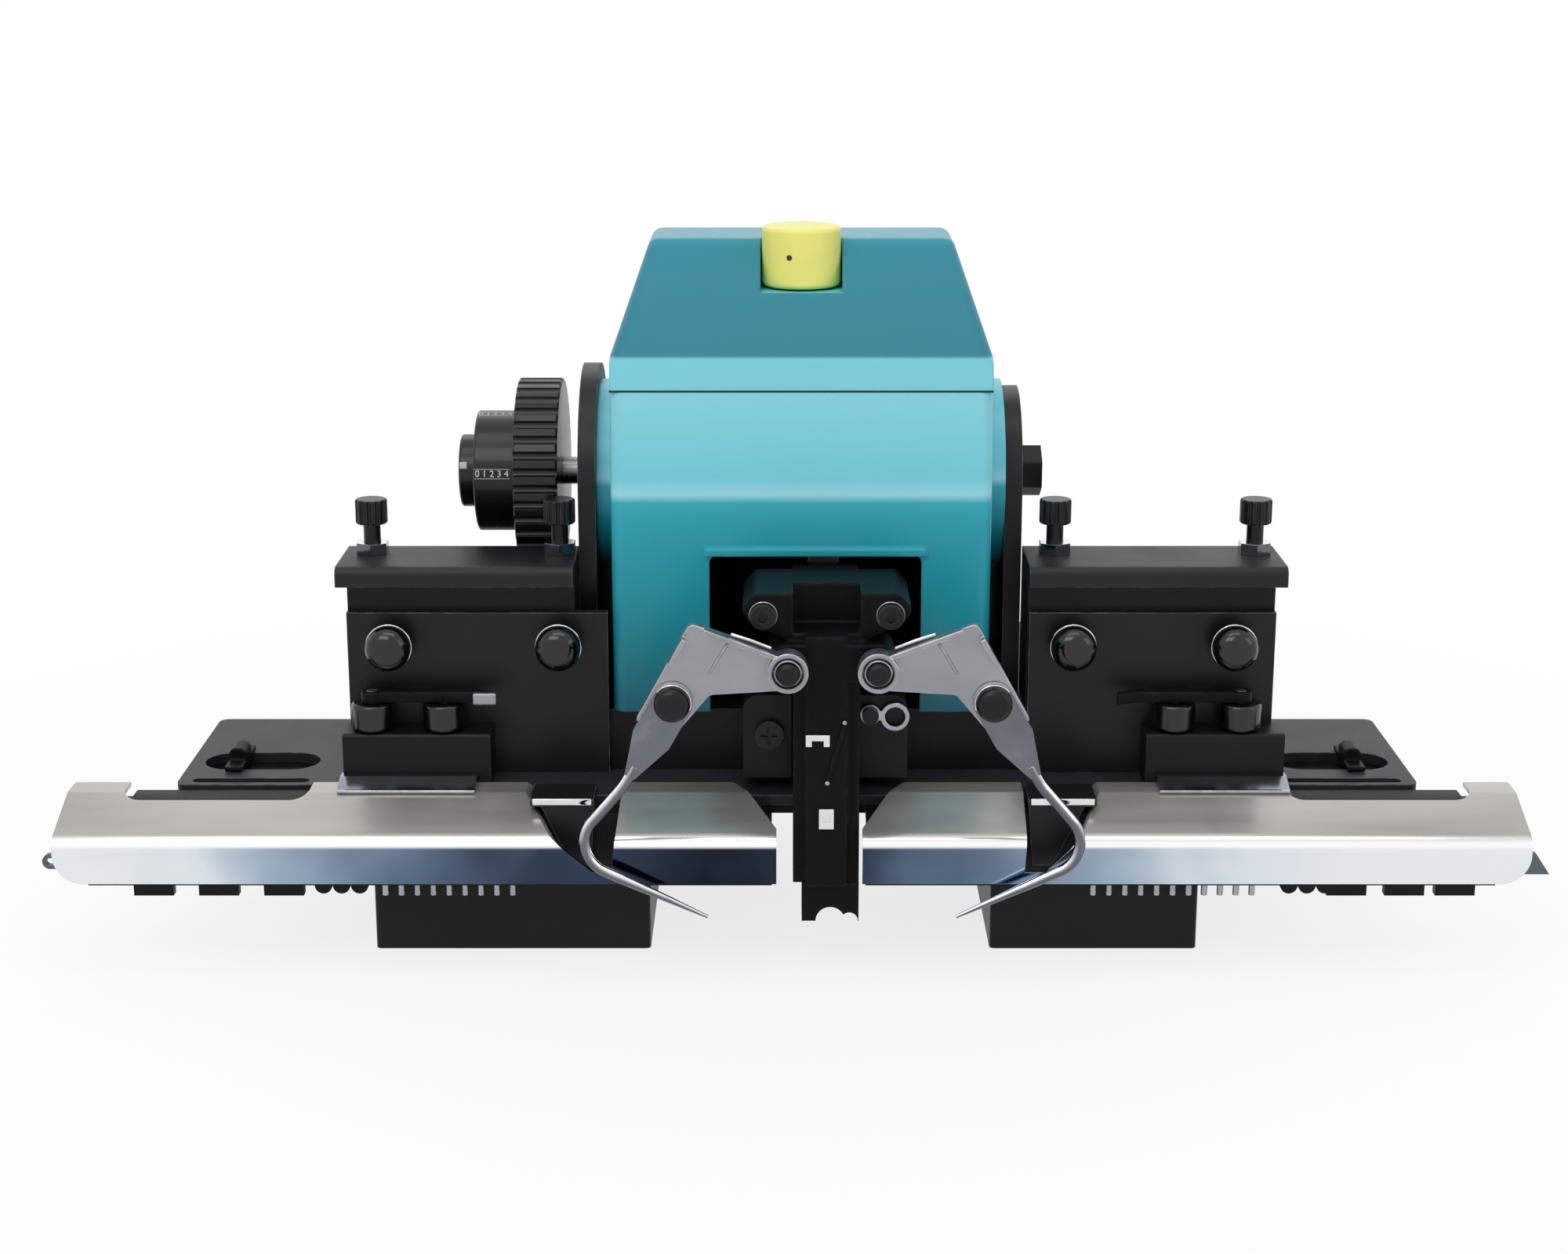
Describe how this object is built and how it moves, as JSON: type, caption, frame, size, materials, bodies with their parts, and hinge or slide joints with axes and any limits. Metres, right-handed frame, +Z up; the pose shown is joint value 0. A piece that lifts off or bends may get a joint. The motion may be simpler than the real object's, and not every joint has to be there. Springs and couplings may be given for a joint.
{
  "type": "flat knitting machine carriage",
  "caption": "Travelling carriage of a flat knitting machine: teal cam housing, graduated dial, push knobs, rollers, chrome cover plates and sprung arms with wire fingers.",
  "frame": {"origin": "centre of the four foot bolts, on the plane that the feet stand on", "axes": "+X to the right along the carriage's travel, +Y to the rear, +Z up"},
  "size_m": [0.4083, 0.1514, 0.1955],
  "materials": {
    "housing_teal": "glossy moulded teal",
    "knob_yellow": "smooth moulded yellow",
    "black_casting": "black anodised casting",
    "black_sheet": "satin black paint on sheet steel",
    "grey_plate": "dark grey satin paint on sheet steel",
    "chrome": "polished chrome plate",
    "bright_steel": "bright plated steel",
    "satin_steel": "satin nickel plate",
    "machined_steel": "machined steel",
    "bearing_brass": "plain bearing brass",
    "black_screw": "black oxide steel",
    "black_plastic": "glossy black moulding"
  },
  "bodies": {
    "base": {"under_frame": "black_casting", "feet": "black_casting", "carriage_plate": "grey_plate", "head_block": "black_casting", "cam_boxes": "black_casting", "box_caps": "black_casting", "front_plates": "black_sheet", "lower_housing": "housing_teal", "top_cover": "housing_teal", "side_plates": "black_sheet", "shaft_bushes": "bearing_brass", "column_gibs": "black_casting", "gib_screws": "black_screw", "left_chrome_cover": "chrome", "right_chrome_cover": "chrome", "cover_brackets": "bright_steel", "brush_rails": "black_sheet", "rail_pins": "bright_steel", "holder_plates": "black_sheet", "cover_end_fittings": "chrome", "roller_blocks": "black_casting", "roller_axles": "satin_steel", "lock_nuts": "chrome", "button_springs": "machined_steel"},
    "dial": {"main_shaft": "machined_steel", "drive_pinion": "machined_steel", "dial_drum": "black_plastic", "dial_wheel": "black_plastic", "shaft_nut": "black_screw"},
    "slide": {"guide_column": "black_casting", "rack": "machined_steel", "column_clips": "chrome", "lobe_screws": "black_screw", "pivot_pins": "black_screw", "torsion_springs": "machined_steel"},
    "selector": {"selector_knob": "knob_yellow", "knob_spindle": "machined_steel"},
    "left_arm": {"left_arm_bracket": "satin_steel", "left_clamp_screw": "black_screw"},
    "right_arm": {"right_arm_bracket": "satin_steel", "right_clamp_screw": "black_screw"},
    "left_finger": {"left_wire_finger": "bright_steel"},
    "right_finger": {"right_wire_finger": "bright_steel"},
    "left_outer_button": {"left_outer_push_knob": "black_plastic"},
    "left_inner_button": {"left_inner_push_knob": "black_plastic"},
    "right_inner_button": {"right_inner_push_knob": "black_plastic"},
    "right_outer_button": {"right_outer_push_knob": "black_plastic"},
    "left_outer_screw": {"left_outer_thumbscrew": "black_screw"},
    "left_inner_screw": {"left_inner_thumbscrew": "black_screw"},
    "right_inner_screw": {"right_inner_thumbscrew": "black_screw"},
    "right_outer_screw": {"right_outer_thumbscrew": "black_screw"},
    "left_outer_wheel": {"left_outer_roller": "black_plastic"},
    "left_inner_wheel": {"left_inner_roller": "black_plastic"},
    "right_inner_wheel": {"right_inner_roller": "black_plastic"},
    "right_outer_wheel": {"right_outer_roller": "black_plastic"},
    "left_slider": {"left_slot_lever": "black_plastic"},
    "right_slider": {"right_slot_lever": "black_plastic"},
    "gate": {"gate_lever": "bright_steel"},
    "left_latch": {"left_latch_lever": "black_plastic"},
    "right_latch": {"right_latch_lever": "black_plastic"}
  },
  "joints": [
    {"name": "dial_turn", "type": "hinge", "parent": "base", "child": "dial", "pos_m": [0, 0.025, 0.1224], "axis": [1, 0, 0], "range_deg": [-62, 62]},
    {"name": "column_slide", "type": "slide", "parent": "base", "child": "slide", "axis": [0, 0, 1], "range_m": [-0.00628, 0.00628]},
    {"name": "selector_turn", "type": "hinge", "parent": "base", "child": "selector", "pos_m": [0.0013, 0.0137, 0.187], "axis": [0, 0, 1], "range_deg": [-60, 60]},
    {"name": "left_arm_lift", "type": "hinge", "parent": "slide", "child": "left_arm", "pos_m": [-0.0026, -0.067, 0.0877], "axis": [0, 1, 0], "range_deg": [0, 25], "stiffness_Nm_per_rad": 0.06, "springref_deg": -20.05},
    {"name": "right_arm_lift", "type": "hinge", "parent": "slide", "child": "right_arm", "pos_m": [0.0212, -0.067, 0.0877], "axis": [0, -1, 0], "range_deg": [0, 25], "stiffness_Nm_per_rad": 0.06, "springref_deg": -20.05},
    {"name": "left_finger_slide", "type": "slide", "parent": "left_arm", "child": "left_finger", "axis": [-0.4929, 0, -0.8701], "range_m": [-0.003, 0.003]},
    {"name": "right_finger_slide", "type": "slide", "parent": "right_arm", "child": "right_finger", "axis": [0.4929, 0, -0.8701], "range_m": [-0.003, 0.003]},
    {"name": "left_outer_press", "type": "slide", "parent": "base", "child": "left_outer_button", "axis": [0, 1, 0], "range_m": [0, 0.005], "stiffness_N_per_m": 400, "springref_m": -0.002, "deforming": ["button_springs"]},
    {"name": "left_inner_press", "type": "slide", "parent": "base", "child": "left_inner_button", "axis": [0, 1, 0], "range_m": [0, 0.005], "stiffness_N_per_m": 400, "springref_m": -0.002, "deforming": ["button_springs"]},
    {"name": "right_inner_press", "type": "slide", "parent": "base", "child": "right_inner_button", "axis": [0, 1, 0], "range_m": [0, 0.005], "stiffness_N_per_m": 400, "springref_m": -0.002, "deforming": ["button_springs"]},
    {"name": "right_outer_press", "type": "slide", "parent": "base", "child": "right_outer_button", "axis": [0, 1, 0], "range_m": [0, 0.005], "stiffness_N_per_m": 400, "springref_m": -0.002, "deforming": ["button_springs"]},
    {"name": "left_outer_screw_turn", "type": "hinge", "parent": "base", "child": "left_outer_screw", "pos_m": [-0.1203, -0.008, 0.11], "axis": [0, 0, 1], "range_deg": [-180, 180]},
    {"name": "left_inner_screw_turn", "type": "hinge", "parent": "base", "child": "left_inner_screw", "pos_m": [-0.0672, -0.008, 0.11], "axis": [0, 0, 1], "range_deg": [-180, 180]},
    {"name": "right_inner_screw_turn", "type": "hinge", "parent": "base", "child": "right_inner_screw", "pos_m": [0.0731, -0.008, 0.11], "axis": [0, 0, 1], "range_deg": [-180, 180]},
    {"name": "right_outer_screw_turn", "type": "hinge", "parent": "base", "child": "right_outer_screw", "pos_m": [0.1298, -0.008, 0.11], "axis": [0, 0, 1], "range_deg": [-180, 180]},
    {"name": "left_outer_roller_spin", "type": "hinge", "parent": "base", "child": "left_outer_wheel", "pos_m": [-0.1187, -0.0304, 0.064], "axis": [0, 0, 1], "continuous": true},
    {"name": "left_inner_roller_spin", "type": "hinge", "parent": "base", "child": "left_inner_wheel", "pos_m": [-0.0988, -0.0304, 0.064], "axis": [0, 0, 1], "continuous": true},
    {"name": "right_inner_roller_spin", "type": "hinge", "parent": "base", "child": "right_inner_wheel", "pos_m": [0.1055, -0.0304, 0.064], "axis": [0, 0, 1], "continuous": true},
    {"name": "right_outer_roller_spin", "type": "hinge", "parent": "base", "child": "right_outer_wheel", "pos_m": [0.124, -0.0304, 0.064], "axis": [0, 0, 1], "continuous": true},
    {"name": "left_lever_slide", "type": "slide", "parent": "base", "child": "left_slider", "axis": [1, 0, 0], "range_m": [-0.006, 0.015]},
    {"name": "right_lever_slide", "type": "slide", "parent": "base", "child": "right_slider", "axis": [1, 0, 0], "range_m": [-0.015, 0.005]},
    {"name": "gate_swing", "type": "hinge", "parent": "base", "child": "gate", "pos_m": [0.0202, -0.0393, 0.067], "axis": [0, 1, 0], "range_deg": [-25, 25]},
    {"name": "left_latch_swing", "type": "hinge", "parent": "base", "child": "left_latch", "pos_m": [-0.1187, -0.0304, 0.0697], "axis": [0, 0, -1], "range_deg": [0, 25]},
    {"name": "right_latch_swing", "type": "hinge", "parent": "base", "child": "right_latch", "pos_m": [0.124, -0.0304, 0.0697], "axis": [0, 0, 1], "range_deg": [0, 25]}
  ],
  "couplings": [
    {"joint": "dial_turn", "follows": "column_slide", "rad_per_m": -166.67}
  ]
}
